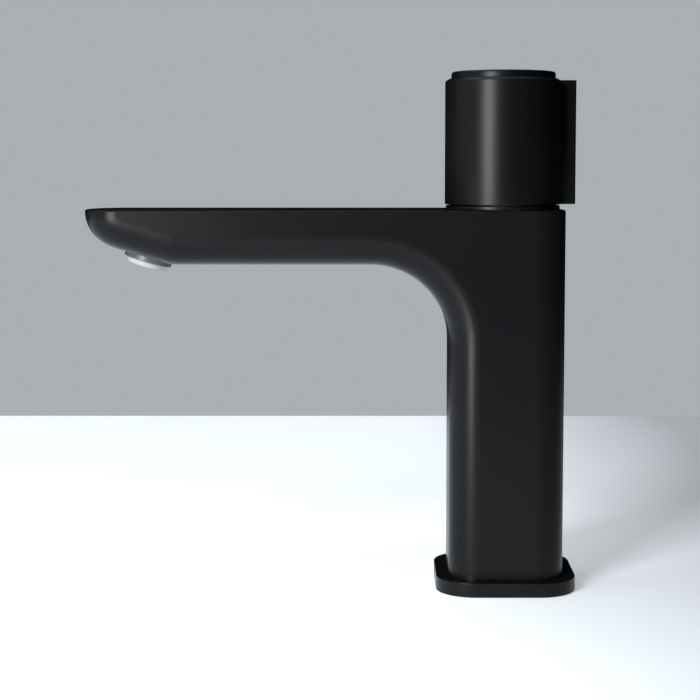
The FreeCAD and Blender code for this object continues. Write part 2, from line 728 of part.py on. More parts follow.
def make_button():
    roof = "cap_top - cap_roof"
    cap = turned("cap_blank", [
        ("0", roof),
        ("cap_radius - cap_wall", roof),
        ("cap_radius - cap_wall", "cap_low"),
        ("cap_radius", "cap_low"),
        ("cap_radius", "cap_top"),
        ("0", "cap_top"),
    ])
    named(rounded("cap", cap, "cap_rounding",
                  lambda edge: edge.BoundBox.ZMin > sheet.get("cap_top") - 1e-3
                  and edge.BoundBox.XLength > 2 * sheet.get("cap_radius") - 1e-3), "button_cap")
    disc_low = roof + " - plunger_disc"
    named(turned("plunger", [
        ("0", roof),
        ("0", "stem_top"),
        ("stem_radius", "stem_top"),
        ("stem_radius", "boss_low"),
        ("boss_radius", "boss_low"),
        ("boss_radius", disc_low),
        ("plunger_radius", disc_low),
        ("plunger_radius", roof),
    ]), "button_plunger")
    named(turned("stem", [
        ("0", "stem_low"),
        ("stem_tip_radius", "stem_low"),
        ("stem_tip_radius", "stem_step"),
        ("stem_radius", "stem_step"),
        ("stem_radius", "stem_top"),
        ("0", "stem_top"),
    ]), "valve_stem")
    named(turned("poppet", [
        ("0", "poppet_low"),
        ("poppet_radius", "poppet_low"),
        ("poppet_radius", "poppet_high"),
        ("stem_tip_radius", "poppet_high"),
        ("stem_tip_radius", "stem_low"),
        ("0", "stem_low"),
    ]), "shutoff_poppet")
    seat_low = "hub_high + clip_thickness"
    seat_high = seat_low + " + spring_seat_thickness"
    named(ring("seat_ring", "spindle_radius + 0.1", "spring_seat_radius", seat_low, seat_high),
          "spring_seat")

    spring = doc.addObject("Part::Feature", "coil")
    seat_top = (sheet.get("hub_high") + sheet.get("clip_thickness")
                + sheet.get("spring_seat_thickness"))
    disc_level = sheet.get("cap_top") - sheet.get("cap_roof") - sheet.get("plunger_disc")
    spring.Shape = coil_solid(seat_top, disc_level)
    bind(spring, Placement__Base__x="axis_x")
    named(spring, "button_spring")


def coil_solid(low, high):
    # A round wire along a rising coil of straight runs joined by tangent arcs.
    wire = sheet.get("spring_wire")
    radius = sheet.get("spring_radius")
    runs = int(RUNS_PER_TURN * sheet.get("spring_turns"))
    rise = high - low - 2 * wire
    corners = [FreeCAD.Vector(radius * math.cos(math.tau * place / RUNS_PER_TURN),
                              radius * math.sin(math.tau * place / RUNS_PER_TURN),
                              low + wire + rise * place / runs) for place in range(runs + 1)]
    path = []
    last = corners[0]
    for before, corner, after in zip(corners, corners[1:], corners[2:]):
        arriving = (corner - before).normalize()
        leaving = (after - corner).normalize()
        half_turn = arriving.getAngle(leaving) / 2
        reach = ARC_SHARE * (corner - before).Length
        bend = reach / math.tan(half_turn)
        start = corner - arriving * reach
        end = corner + leaving * reach
        inward = (leaving - arriving).normalize()
        middle = corner + inward * (bend / math.cos(half_turn) - bend)
        path.append(Part.LineSegment(last, start).toShape())
        path.append(Part.Arc(start, middle, end).toShape())
        last = end
    path.append(Part.LineSegment(last, corners[-1]).toShape())
    section = Part.makeCircle(wire, corners[0], (corners[1] - corners[0]).normalize())
    return Part.Wire(path).makePipeShell([Part.Wire([section])], True, False)


# Outlet --------------------------------------------------------------------------------------

def make_outlet():
    named(tilted(ring("outlet_ring", "outlet_ring_bore", "outlet_ring_radius",
                      "-outlet_ring_drop", "outlet_depth - washer_thickness", "0")),
          "aerator_housing")
    insert = turned("insert_blank", [
        ("0", "insert_recess_depth - insert_drop"),
        ("insert_recess_radius", "insert_recess_depth - insert_drop"),
        ("insert_recess_radius", "-insert_drop"),
        ("insert_tip_radius", "-insert_drop"),
        ("insert_radius", "-outlet_ring_drop"),
        ("insert_radius", "insert_top"),
        ("0", "insert_top"),
    ], "0")
    holes = [rod("insert_hole", "insert_hole_radius", "-insert_drop - 1", "insert_top + 1", "0")]
    for circle in (1, 2):
        for place in range(6 * circle):
            angle = 60.0 / circle * place
            holes.append(rod("insert_hole", "insert_hole_radius", "-insert_drop - 1",
                             "insert_top + 1",
                             "%d * insert_hole_pitch * cos(%.1f deg)" % (circle, angle),
                             "%d * insert_hole_pitch * sin(%.1f deg)" % (circle, angle)))
    named(tilted(cut("insert", insert, holes)), "aerator_insert")
    regulator = ring("regulator_blank", "insert_hole_radius", "insert_radius", "insert_top",
                     "regulator_top", "0")
    jets = [rod("regulator_jet", "insert_hole_radius", "insert_top - 1", "regulator_top + 1",
                "1.8 * insert_hole_pitch * cos(%d deg)" % angle,
                "1.8 * insert_hole_pitch * sin(%d deg)" % angle) for angle in range(0, 360, 45)]
    named(tilted(cut("regulator", regulator, jets)), "flow_regulator")
    named(tilted(ring("screen", "0", "insert_radius", "regulator_top",
                      "regulator_top + screen_thickness", "0")), "aerator_screen")
    named(tilted(ring("washer", "washer_bore", "outlet_ring_radius",
                      "outlet_depth - washer_thickness", "outlet_depth", "0")), "aerator_washer")


make_body()
make_deck_pieces()
make_cartridge()
make_handle()
make_button()
make_outlet()
doc.recompute()

failed = [piece.Name for piece in doc.Objects
          if "Invalid" in piece.State or "Error" in piece.State]
if failed:
    raise RuntimeError("failed objects: " + ", ".join(failed))
for node, piece in names.items():
    if piece.Shape.isNull() or not piece.Shape.isValid() or not piece.Shape.Solids:
        raise RuntimeError("bad shape: " + node)

os.makedirs("parts", exist_ok=True)
for node, piece in names.items():
    piece.Shape.exportStep("parts/%s.step" % node)
    print("%-24s %2d solid(s) %10.1f mm3" % (node, len(piece.Shape.Solids), piece.Shape.Volume))
print(len(names), "nodes")
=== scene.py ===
import math
import json
import bpy
import bmesh
from mathutils import Vector, Matrix


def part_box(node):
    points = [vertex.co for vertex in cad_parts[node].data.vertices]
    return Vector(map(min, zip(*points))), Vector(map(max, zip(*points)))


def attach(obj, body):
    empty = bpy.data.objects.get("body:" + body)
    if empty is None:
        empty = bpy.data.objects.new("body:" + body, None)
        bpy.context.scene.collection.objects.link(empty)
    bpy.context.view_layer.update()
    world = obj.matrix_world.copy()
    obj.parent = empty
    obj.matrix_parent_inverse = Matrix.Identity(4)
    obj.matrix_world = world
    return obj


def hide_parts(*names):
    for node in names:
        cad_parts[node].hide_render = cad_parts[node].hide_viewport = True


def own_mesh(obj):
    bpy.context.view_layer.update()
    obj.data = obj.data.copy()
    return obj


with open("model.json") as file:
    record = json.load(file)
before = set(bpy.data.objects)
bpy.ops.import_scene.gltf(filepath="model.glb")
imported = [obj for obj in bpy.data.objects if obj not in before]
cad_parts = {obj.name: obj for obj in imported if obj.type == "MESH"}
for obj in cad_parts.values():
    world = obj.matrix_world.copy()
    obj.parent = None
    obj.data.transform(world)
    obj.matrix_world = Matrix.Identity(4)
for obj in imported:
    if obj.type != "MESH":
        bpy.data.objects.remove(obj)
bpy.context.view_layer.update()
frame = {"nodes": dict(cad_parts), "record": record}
print("frame loaded:", len(frame["nodes"]), "nodes")

nodes = frame["nodes"]
mm = 0.001
upright = Vector((0, 0, 1))


def middle(node):
    low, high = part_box(node)
    return (Vector(low) + Vector(high)) / 2


# The handle's axis is upright. The outlet's leans, and passes through two of its round pieces.
handleAxis = middle("handle_hub").xy.to_3d()
outletLean = (middle("aerator_washer") - middle("aerator_screen")).normalized()
outletPlace = {"screenMiddle": 4.9 * mm}      # from the seat to the middle of the screen
outletSeat = middle("aerator_screen") - outletLean * outletPlace["screenMiddle"]
outletTurn = (Matrix.Translation(outletSeat)
              @ upright.rotation_difference(outletLean).to_matrix().to_4x4())


# Finishes. Each one is a small node tree on object coordinates.

noiseLook = {"broad": 38.0, "patchy": 70.0, "low": 0.3, "high": 0.7, "bump": 0.00008}


def newMaterial(name):
    material = bpy.data.materials.new(name)
    material.use_nodes = True
    tree = material.node_tree
    shader = tree.nodes["Principled BSDF"]
    place = tree.nodes.new("ShaderNodeTexCoord")
    return material, tree, shader, place


def noiseFrom(tree, place, scale, detail):
    noise = tree.nodes.new("ShaderNodeTexNoise")
    noise.inputs["Scale"].default_value = scale
    noise.inputs["Detail"].default_value = detail
    tree.links.new(place.outputs["Object"], noise.inputs["Vector"])
    return noise


def spread(tree, noise, low, high, socket):
    span = tree.nodes.new("ShaderNodeMapRange")
    span.inputs["From Min"].default_value = noiseLook["low"]
    span.inputs["From Max"].default_value = noiseLook["high"]
    span.inputs["To Min"].default_value = low
    span.inputs["To Max"].default_value = high
    tree.links.new(noise.outputs["Fac"], span.inputs["Value"])
    tree.links.new(span.outputs["Result"], socket)


def tint(tree, noise, dark, light, socket):
    ramp = tree.nodes.new("ShaderNodeValToRGB")
    ramp.color_ramp.elements[0].position = noiseLook["low"]
    ramp.color_ramp.elements[0].color = (*dark, 1)
    ramp.color_ramp.elements[1].position = noiseLook["high"]
    ramp.color_ramp.elements[1].color = (*light, 1)
    tree.links.new(noise.outputs["Fac"], ramp.inputs["Fac"])
    tree.links.new(ramp.outputs["Color"], socket)


def roughen(tree, shader, noise, strength, distance):
    bump = tree.nodes.new("ShaderNodeBump")
    bump.inputs["Strength"].default_value = strength
    bump.inputs["Distance"].default_value = distance
    tree.links.new(noise.outputs["Fac"], bump.inputs["Height"])
    tree.links.new(bump.outputs["Normal"], shader.inputs["Normal"])


finishes = {
    "coating": {"dark": (0.0040, 0.0043, 0.0049), "light": (0.0048, 0.0052, 0.0059),
                "metal": 0.0, "rough": (0.300, 0.315), "specular": 0.16, "grain": 2600,
                "depth": 0.05},
    "handleCoating": {"dark": (0.0032, 0.0034, 0.0039), "light": (0.0038, 0.0041, 0.0047),
                      "metal": 0.0, "rough": (0.320, 0.335), "specular": 0.19, "grain": 3200,
                      "depth": 0.03},
    "ringCoating": {"dark": (0.085, 0.092, 0.098), "light": (0.105, 0.112, 0.118), "metal": 0.2,
                    "rough": (0.36, 0.42), "specular": 0.5, "grain": 3000, "depth": 0.06},
    "outletPlastic": {"dark": (0.37, 0.38, 0.39), "light": (0.42, 0.43, 0.44), "metal": 0.0,
                      "rough": (0.42, 0.50), "specular": 0.45, "grain": 1800, "depth": 0.10},
    "whitePlastic": {"dark": (0.66, 0.66, 0.63), "light": (0.74, 0.74, 0.71), "metal": 0.0,
                     "rough": (0.42, 0.52), "specular": 0.45, "grain": 1500, "depth": 0.10},
    "greyPlastic": {"dark": (0.22, 0.23, 0.24), "light": (0.28, 0.29, 0.30), "metal": 0.0,
                    "rough": (0.45, 0.55), "specular": 0.45, "grain": 1500, "depth": 0.12},
    "ceramicWhite": {"dark": (0.78, 0.78, 0.75), "light": (0.84, 0.84, 0.82), "metal": 0.0,
                     "rough": (0.12, 0.18), "specular": 0.55, "grain": 2400, "depth": 0.03},
    "blackRubber": {"dark": (0.012, 0.012, 0.013), "light": (0.020, 0.020, 0.021), "metal": 0.0,
                    "rough": (0.68, 0.80), "specular": 0.3, "grain": 1200, "depth": 0.30},
    "plainSteel": {"dark": (0.50, 0.51, 0.52), "light": (0.60, 0.61, 0.62), "metal": 1.0,
                   "rough": (0.26, 0.34), "specular": 0.5, "grain": 2000, "depth": 0.08},
    "castZinc": {"dark": (0.46, 0.47, 0.49), "light": (0.55, 0.56, 0.58), "metal": 1.0,
                 "rough": (0.42, 0.52), "specular": 0.5, "grain": 1400, "depth": 0.20},
    "plainBrass": {"dark": (0.62, 0.46, 0.20), "light": (0.72, 0.55, 0.27), "metal": 1.0,
                   "rough": (0.28, 0.36), "specular": 0.5, "grain": 1600, "depth": 0.10},
}


def makeFinish(name, look):
    material, tree, shader, place = newMaterial(name)
    shader.inputs["Metallic"].default_value = look["metal"]
    shader.inputs["Specular IOR Level"].default_value = look["specular"]
    broad = noiseFrom(tree, place, noiseLook["broad"], 4.0)
    patchy = noiseFrom(tree, place, noiseLook["patchy"], 3.0)
    grain = noiseFrom(tree, place, look["grain"], 2.0)
    tint(tree, broad, look["dark"], look["light"], shader.inputs["Base Color"])
    spread(tree, patchy, look["rough"][0], look["rough"][1], shader.inputs["Roughness"])
    roughen(tree, shader, grain, look["depth"], noiseLook["bump"])
    return material


materials = {name: makeFinish(name, look) for name, look in finishes.items()}
print("finishes made:", len(materials))

finishOfSlot = {
    "painted_brass": "coating", "painted_metal": "coating", "dark_metal": "ringCoating",
    "outlet_plastic": "outletPlastic", "white_plastic": "whitePlastic",
    "grey_plastic": "greyPlastic", "ceramic": "ceramicWhite", "rubber": "blackRubber",
    "steel": "plainSteel", "zinc": "castZinc", "brass": "plainBrass",
}
slotOfNode = {part["node"]: part["material_slot"] for part in frame["record"]["subparts"]}
smootherNodes = ("handle_sleeve", "lever_fin", "button_cap", "collar_ring")


def finishOf(node):
    return "handleCoating" if node in smootherNodes else finishOfSlot[slotOfNode[node]]


def paint(thing, finish):
    thing.data.materials.clear()
    thing.data.materials.append(materials[finish])


for nodeName, nodeObject in nodes.items():
    paint(nodeObject, finishOf(nodeName))


# Shape helpers. Points closer than the weld are one point, and the sliver is what a cut may leave.

shapeLimits = {"weld": 1e-7, "sliver": 0.002 * mm, "sharp": math.radians(32)}
roundness = {"outside": 192, "plain": 144, "rod": 24}      # steps round a turned shape


def linkNew(name, mesh):
    thing = bpy.data.objects.new(name, mesh)
    bpy.context.scene.collection.objects.link(thing)
    return thing


def addPiece(name, mesh, body, node):
    # One new piece in place of one CAD node, with that node's finish.
    mesh.name = name
    mesh.shade_smooth()
    mesh.set_sharp_from_angle(angle=shapeLimits["sharp"])
    piece = linkNew(name, mesh)
    paint(piece, finishOf(node))
    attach(piece, body)
    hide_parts(node)
    return piece


def finished(shape):
    # Closes a bmesh off into a mesh whose faces point outwards.
    bmesh.ops.remove_doubles(shape, verts=shape.verts, dist=shapeLimits["weld"])
    bmesh.ops.recalc_face_normals(shape, faces=shape.faces)
    mesh = bpy.data.meshes.new("shape")
    shape.to_mesh(mesh)
    shape.free()
    return mesh


def softened(corners, steps=6):
    # An outline of (radius, level, rounding) corners, each rounded corner as an arc.
    points = []
    for place, (across, up, size) in enumerate(corners):
        here = Vector((across, up))
        if not size:
            points.append(here)
            continue
        back = (Vector(corners[place - 1][:2]) - here).normalized()
        onward = (Vector(corners[(place + 1) % len(corners)][:2]) - here).normalized()
        half = back.angle(onward) / 2
        centre = here + (back + onward).normalized() * size / math.sin(half)
        start = here + back * size / math.tan(half) - centre
        turn = start.angle_signed(here + onward * size / math.tan(half) - centre)
        for step in range(steps + 1):
            spoke = start.copy()
            spoke.rotate(Matrix.Rotation(-turn * step / steps, 2))
            points.append(centre + spoke)
    return points


def lathed(outline, place, around=roundness["plain"]):
    # Turns a closed outline of (radius, level) points in millimetres about the upright axis.
    shape = bmesh.new()
    rings = []
    for across, up in outline:
        count = around if across > 1e-6 else 1
        rings.append([shape.verts.new(place @ (Vector((
            across * math.cos(math.tau * step / around),
            across * math.sin(math.tau * step / around), up)) * mm)) for step in range(count)])
    for ring, above in zip(rings, rings[1:] + rings[:1]):
        if len(ring) == 1 and len(above) == 1:
            continue
        for step in range(around):
            after = (step + 1) % around
            corners = [ring[step % len(ring)], ring[after % len(ring)],
                       above[after % len(above)], above[step % len(above)]]
            shape.faces.new(list(dict.fromkeys(corners)))
    return finished(shape)


def boxed(low, high, rounding=0.0, steps=3):
    # A box with its edges rounded, all in metres.
    shape = bmesh.new()
    size = Vector(high) - Vector(low)
    bmesh.ops.create_cube(shape, size=1)
    for vertex in shape.verts:
        vertex.co = Vector(low) + Vector((vertex.co[axis] + 0.5) * size[axis] for axis in range(3))
    if rounding:
        bmesh.ops.bevel(shape, geom=shape.edges[:], offset=rounding, segments=steps,
                        profile=0.5, affect="EDGES")
    return finished(shape)


def carved(mesh, cutters):
    # Cuts the given meshes out of a mesh, one after another, and merges away the slivers left.
    for cutter in cutters:
        blank = linkNew("blank", mesh)
        tool = linkNew("tool", cutter)
        carve = blank.modifiers.new("carve", "BOOLEAN")
        carve.operation = "DIFFERENCE"
        carve.solver = "EXACT"
        carve.object = tool
        bpy.context.view_layer.update()
        mesh = bpy.data.meshes.new_from_object(
            blank.evaluated_get(bpy.context.evaluated_depsgraph_get()))
        bpy.data.objects.remove(blank)
        bpy.data.objects.remove(tool)
    shape = bmesh.new()
    shape.from_mesh(mesh)
    bmesh.ops.remove_doubles(shape, verts=shape.verts, dist=shapeLimits["sliver"])
    bmesh.ops.dissolve_degenerate(shape, edges=shape.edges, dist=shapeLimits["sliver"])
    return finished(shape)


# Geometry Nodes helpers: a tree with named inputs, and its result as a plain mesh.

def newTree(name, numbers, counts=()):
    tree = bpy.data.node_groups.new(name, "GeometryNodeTree")
    for label in numbers:
        tree.interface.new_socket(label, in_out="INPUT", socket_type="NodeSocketFloat")
    for label in counts:
        tree.interface.new_socket(label, in_out="INPUT", socket_type="NodeSocketInt")
    tree.interface.new_socket("Shape", in_out="OUTPUT", socket_type="NodeSocketGeometry")
    entry = tree.nodes.new("NodeGroupInput")
    result = tree.nodes.new("NodeGroupOutput")
    return tree, entry, result


def closeTree(tree, shape, result, finish):
    real = tree.nodes.new("GeometryNodeRealizeInstances")
    colour = tree.nodes.new("GeometryNodeSetMaterial")
    colour.inputs["Material"].default_value = materials[finish]
    tree.links.new(shape, real.inputs["Geometry"])
    tree.links.new(real.outputs["Geometry"], colour.inputs["Geometry"])
    tree.links.new(colour.outputs["Geometry"], result.inputs["Shape"])


def maths(tree, operation, first, second=None, third=None):
    node = tree.nodes.new("ShaderNodeMath")
    node.operation = operation
    for socket, value in zip(node.inputs, (first, second, third)):
        if value is None:
            continue
        if isinstance(value, (int, float)):
            socket.default_value = value
        else:
            tree.links.new(value, socket)
    return node.outputs[0]


def grown(tree, settings):
    # Runs a tree once with the given inputs and returns a plain mesh.
    carrier = linkNew("carrier", bpy.data.meshes.new("carrier"))
    modifier = carrier.modifiers.new("shape", "NODES")
    modifier.node_group = tree
    for socket in tree.interface.items_tree:
        if socket.in_out == "INPUT":
            modifier[socket.identifier] = settings[socket.name]
    bpy.context.view_layer.update()
    mesh = bpy.data.meshes.new_from_object(
        carrier.evaluated_get(bpy.context.evaluated_depsgraph_get()))
    carrier.modifiers.remove(modifier)
    bpy.data.objects.remove(carrier)
    return mesh


# Handle sleeve: a turned shell with a soft shoulder, a ledge inside and a slot for the fin.

sleeve = {"wall": 1.9, "shoulderWidth": 1.6, "shoulderDrop": 1.0, "shoulderEdge": 0.6,
          "lip": 0.2, "ledgeLow": 164.0, "ledgeHigh": 167.0, "ledgeInner": 14.2,
          "screwCircle": 16.8, "screwHole": 1.6, "screwTurns": (60, 180, 300),
          "slotSlack": 0.02, "holeTurn": 7.0}


def roundRod(radius, low, high, place):
    outline = [(0, low), (radius, low), (radius, high), (0, high)]
    return lathed(outline, place, around=roundness["rod"])


def makeSleeve():
    low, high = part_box("handle_sleeve")
    outer = (high.x - low.x) / 2 / mm
    bottom, top = low.z / mm, high.z / mm
    bore = outer - sleeve["wall"]
    outline = softened([
        (bore, bottom, 0), (outer, bottom, sleeve["lip"]),
        (outer, top - sleeve["shoulderDrop"], sleeve["shoulderEdge"]),
        (outer - sleeve["shoulderWidth"], top, sleeve["lip"]),
        (bore, top, 0.0), (bore, sleeve["ledgeHigh"], 0),
        (sleeve["ledgeInner"], sleeve["ledgeHigh"], 0),
        (sleeve["ledgeInner"], sleeve["ledgeLow"], 0), (bore, sleeve["ledgeLow"], 0)])
    mesh = lathed(outline, Matrix.Translation(handleAxis), around=roundness["outside"])
    finLow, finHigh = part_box("lever_fin")
    slack = sleeve["slotSlack"] * mm
    slot = boxed((finLow.x, finLow.y - slack, low.z - mm),
                 (finHigh.x, finHigh.y + slack, finHigh.z))
    # The cutters are turned a little, so that none of their corners lies on the sleeve's seam.
    offSeam = Matrix.Rotation(math.radians(sleeve["holeTurn"]), 4, "Z")
    holes = []
    for turn in sleeve["screwTurns"]:
        aside = Vector((math.cos(math.radians(turn)), math.sin(math.radians(turn)), 0))
        spot = Matrix.Translation(handleAxis + aside * sleeve["screwCircle"] * mm)
        holes.append(roundRod(sleeve["screwHole"], sleeve["ledgeLow"] - 1, sleeve["ledgeHigh"] + 1,
                              spot @ offSeam))
    addPiece("handleSleeve", carved(mesh, [slot] + holes), "handle", "handle_sleeve")


# Fin at the sleeve's rear, the button's cap, and the thin collar ring.

fin = {"rounding": 0.32}
cap = {"wall": 1.8, "roof": 2.0, "roofEdge": 0.4, "edge": 0.95, "rim": 0.2}
collar = {"spigotDrop": 1.5, "spigot": 18.7, "inner": 17.8, "edge": 0.3}


def makeFin():
    low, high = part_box("lever_fin")
    addPiece("leverFin", boxed(low, high, fin["rounding"] * mm), "handle", "lever_fin")


def makeCap():
    low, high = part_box("button_cap")
    radius = (high.x - low.x) / 2 / mm
    bottom, top = low.z / mm, high.z / mm
    inner = radius - cap["wall"]
    outline = softened([
        (0, top, 0), (0, top - cap["roof"], 0), (inner, top - cap["roof"], cap["roofEdge"]),
        (inner, bottom, cap["rim"]), (radius, bottom, cap["rim"]), (radius, top, cap["edge"])])
    mesh = lathed(outline, Matrix.Translation(handleAxis), around=roundness["outside"])
    addPiece("buttonCap", mesh, "button", "button_cap")


def makeCollar():
    low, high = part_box("collar_ring")
    radius = (high.x - low.x) / 2 / mm
    seat = low.z / mm + collar["spigotDrop"]
    outline = softened([
        (collar["inner"], low.z / mm, 0), (collar["spigot"], low.z / mm, 0),
        (collar["spigot"], seat, 0), (radius, seat, collar["edge"]),
        (radius, high.z / mm, collar["edge"]), (collar["inner"], high.z / mm, 0)])
    mesh = lathed(outline, Matrix.Translation(handleAxis), around=roundness["outside"])
    addPiece("collarRing", mesh, "faucet", "collar_ring")


makeSleeve()
makeFin()
makeCap()
makeCollar()
print("handle pieces made")

# Outlet: a dark ring, and inside it a light insert with a honeycomb of six-sided cells.

outlet = {"ringOuter": 8.85, "ringBore": 8.0, "ringDrop": 2.1, "ringTop": 5.9, "ringEdge": 0.25,
          "insertOuter": 7.95, "insertTip": 7.1, "insertDrop": 3.9, "insertTop": 2.4,
          "recess": 6.2, "recessDepth": 1.2, "tipEdge": 0.3}
honeycomb = {"Pitch": 2.5 * mm, "Cell": 1.2 * mm, "Reach": 5.1 * mm, "Depth": 12 * mm}
honeycombRows = 9


def honeycombTree():
    # Six-sided rods on a lattice of alternate offset rows, kept inside a circle.
    tree, entry, result = newTree("honeycomb", ("Pitch", "Cell", "Reach", "Depth"))
    grid = tree.nodes.new("GeometryNodeMeshGrid")
    grid.inputs["Vertices X"].default_value = honeycombRows
    grid.inputs["Vertices Y"].default_value = honeycombRows
    side = maths(tree, "MULTIPLY", entry.outputs["Pitch"], honeycombRows - 1)
    tree.links.new(side, grid.inputs["Size X"])
    tree.links.new(side, grid.inputs["Size Y"])
    where = tree.nodes.new("GeometryNodeInputPosition")
    apart = tree.nodes.new("ShaderNodeSeparateXYZ")
    tree.links.new(where.outputs["Position"], apart.inputs["Vector"])
    # Each row leans half a pitch further along, so the square lattice becomes a six-sided one.
    across = maths(tree, "MULTIPLY_ADD", apart.outputs["Y"], 0.5, apart.outputs["X"])
    up = maths(tree, "MULTIPLY", apart.outputs["Y"], math.sqrt(3) / 2)
    together = tree.nodes.new("ShaderNodeCombineXYZ")
    tree.links.new(across, together.inputs["X"])
    tree.links.new(up, together.inputs["Y"])
    lean = tree.nodes.new("GeometryNodeSetPosition")
    tree.links.new(grid.outputs["Mesh"], lean.inputs["Geometry"])
    tree.links.new(together.outputs["Vector"], lean.inputs["Position"])
    far = tree.nodes.new("ShaderNodeVectorMath")
    far.operation = "LENGTH"
    tree.links.new(where.outputs["Position"], far.inputs[0])
    outside = maths(tree, "GREATER_THAN", far.outputs["Value"], entry.outputs["Reach"])
    trim = tree.nodes.new("GeometryNodeDeleteGeometry")
    trim.domain = "POINT"
    tree.links.new(lean.outputs["Geometry"], trim.inputs["Geometry"])
    tree.links.new(outside, trim.inputs["Selection"])
    cell = tree.nodes.new("GeometryNodeMeshCylinder")
    cell.inputs["Vertices"].default_value = 6
    tree.links.new(entry.outputs["Cell"], cell.inputs["Radius"])
    tree.links.new(entry.outputs["Depth"], cell.inputs["Depth"])
    stamp = tree.nodes.new("GeometryNodeInstanceOnPoints")
    stamp.inputs["Rotation"].default_value = (0, 0, math.radians(30))
    tree.links.new(trim.outputs["Geometry"], stamp.inputs["Points"])
    tree.links.new(cell.outputs["Mesh"], stamp.inputs["Instance"])
    closeTree(tree, stamp.outputs["Instances"], result, "outletPlastic")
    return tree


def makeOutlet():
    ring = softened([
        (outlet["ringBore"], -outlet["ringDrop"], outlet["ringEdge"]),
        (outlet["ringOuter"], -outlet["ringDrop"], outlet["ringEdge"]),
        (outlet["ringOuter"], outlet["ringTop"], 0), (outlet["ringBore"], outlet["ringTop"], 0)])
    addPiece("aeratorRing", lathed(ring, outletTurn), "faucet", "aerator_housing")
    insert = softened([
        (0, outlet["recessDepth"] - outlet["insertDrop"], 0),
        (outlet["recess"], outlet["recessDepth"] - outlet["insertDrop"], 0),
        (outlet["recess"], -outlet["insertDrop"], outlet["tipEdge"]),
        (outlet["insertTip"], -outlet["insertDrop"], outlet["tipEdge"]),
        (outlet["insertOuter"], -outlet["ringDrop"], 0),
        (outlet["insertOuter"], outlet["insertTop"], 0), (0, outlet["insertTop"], 0)])
    cells = grown(honeycombTree(), honeycomb)
    cells.transform(outletTurn)
    addPiece("aeratorInsert", carved(lathed(insert, outletTurn), [cells]), "faucet",
             "aerator_insert")


makeOutlet()
print("outlet pieces made")

# Under the deck: a threaded stud, a six-sided nut and two horseshoe clamps.

thread = {"Pitch": 1.25 * mm, "Depth": 0.62 * mm, "Fade": 1.2 * mm}
threadSteps = {"around": 32, "perPitch": 6}
nutShape = {"chamfer": 0.9, "edgeRadius": 6.9, "boreChamfer": 0.5, "around": 96}
clamp = {"slotReach": 10.5, "slotEnd": -4.5, "hole": 4.3, "rubberEdge": 0.5, "steelEdge": 0.25,
         "around": 72}


def threadTree(sideSteps):
    # A rod whose surface is drawn in along a winding groove that fades out at both ends.
    tree, entry, result = newTree("windingThread", ("Radius", "Length", "Pitch", "Depth", "Fade"))
    rod = tree.nodes.new("GeometryNodeMeshCylinder")
    rod.fill_type = "TRIANGLE_FAN"
    rod.inputs["Vertices"].default_value = threadSteps["around"]
    rod.inputs["Side Segments"].default_value = sideSteps
    tree.links.new(entry.outputs["Radius"], rod.inputs["Radius"])
    tree.links.new(entry.outputs["Length"], rod.inputs["Depth"])
    where = tree.nodes.new("GeometryNodeInputPosition")
    apart = tree.nodes.new("ShaderNodeSeparateXYZ")
    tree.links.new(where.outputs["Position"], apart.inputs["Vector"])
    turn = maths(tree, "ARCTAN2", apart.outputs["Y"], apart.outputs["X"])
    turns = maths(tree, "DIVIDE", turn, math.tau)
    climb = maths(tree, "DIVIDE", apart.outputs["Z"], entry.outputs["Pitch"])
    phase = maths(tree, "FRACT", maths(tree, "SUBTRACT", climb, turns))
    ridge = maths(tree, "PINGPONG", maths(tree, "MULTIPLY", phase, 2.0), 1.0)
    halfLength = maths(tree, "MULTIPLY", entry.outputs["Length"], 0.5)
    toEnd = maths(tree, "SUBTRACT", halfLength, maths(tree, "ABSOLUTE", apart.outputs["Z"]))
    fade = maths(tree, "MINIMUM", maths(tree, "DIVIDE", toEnd, entry.outputs["Fade"]), 1.0)
    groove = maths(tree, "MULTIPLY", maths(tree, "MULTIPLY", ridge, fade), entry.outputs["Depth"])
    drawn = maths(tree, "SUBTRACT", 1.0, maths(tree, "DIVIDE", groove, entry.outputs["Radius"]))
    together = tree.nodes.new("ShaderNodeCombineXYZ")
    tree.links.new(maths(tree, "MULTIPLY", apart.outputs["X"], drawn), together.inputs["X"])
    tree.links.new(maths(tree, "MULTIPLY", apart.outputs["Y"], drawn), together.inputs["Y"])
    tree.links.new(apart.outputs["Z"], together.inputs["Z"])
    draw = tree.nodes.new("GeometryNodeSetPosition")
    tree.links.new(rod.outputs["Mesh"], draw.inputs["Geometry"])
    tree.links.new(together.outputs["Vector"], draw.inputs["Position"])
    closeTree(tree, draw.outputs["Geometry"], result, "plainSteel")
    return tree


def makeStud():
    low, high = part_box("mounting_stud")
    length = high.z - low.z
    sideSteps = round(length / thread["Pitch"] * threadSteps["perPitch"])
    mesh = grown(threadTree(sideSteps), dict(thread, Radius=(high.x - low.x) / 2, Length=length))
    mesh.transform(Matrix.Translation(middle("mounting_stud")))
    addPiece("threadedStud", mesh, "faucet", "mounting_stud")


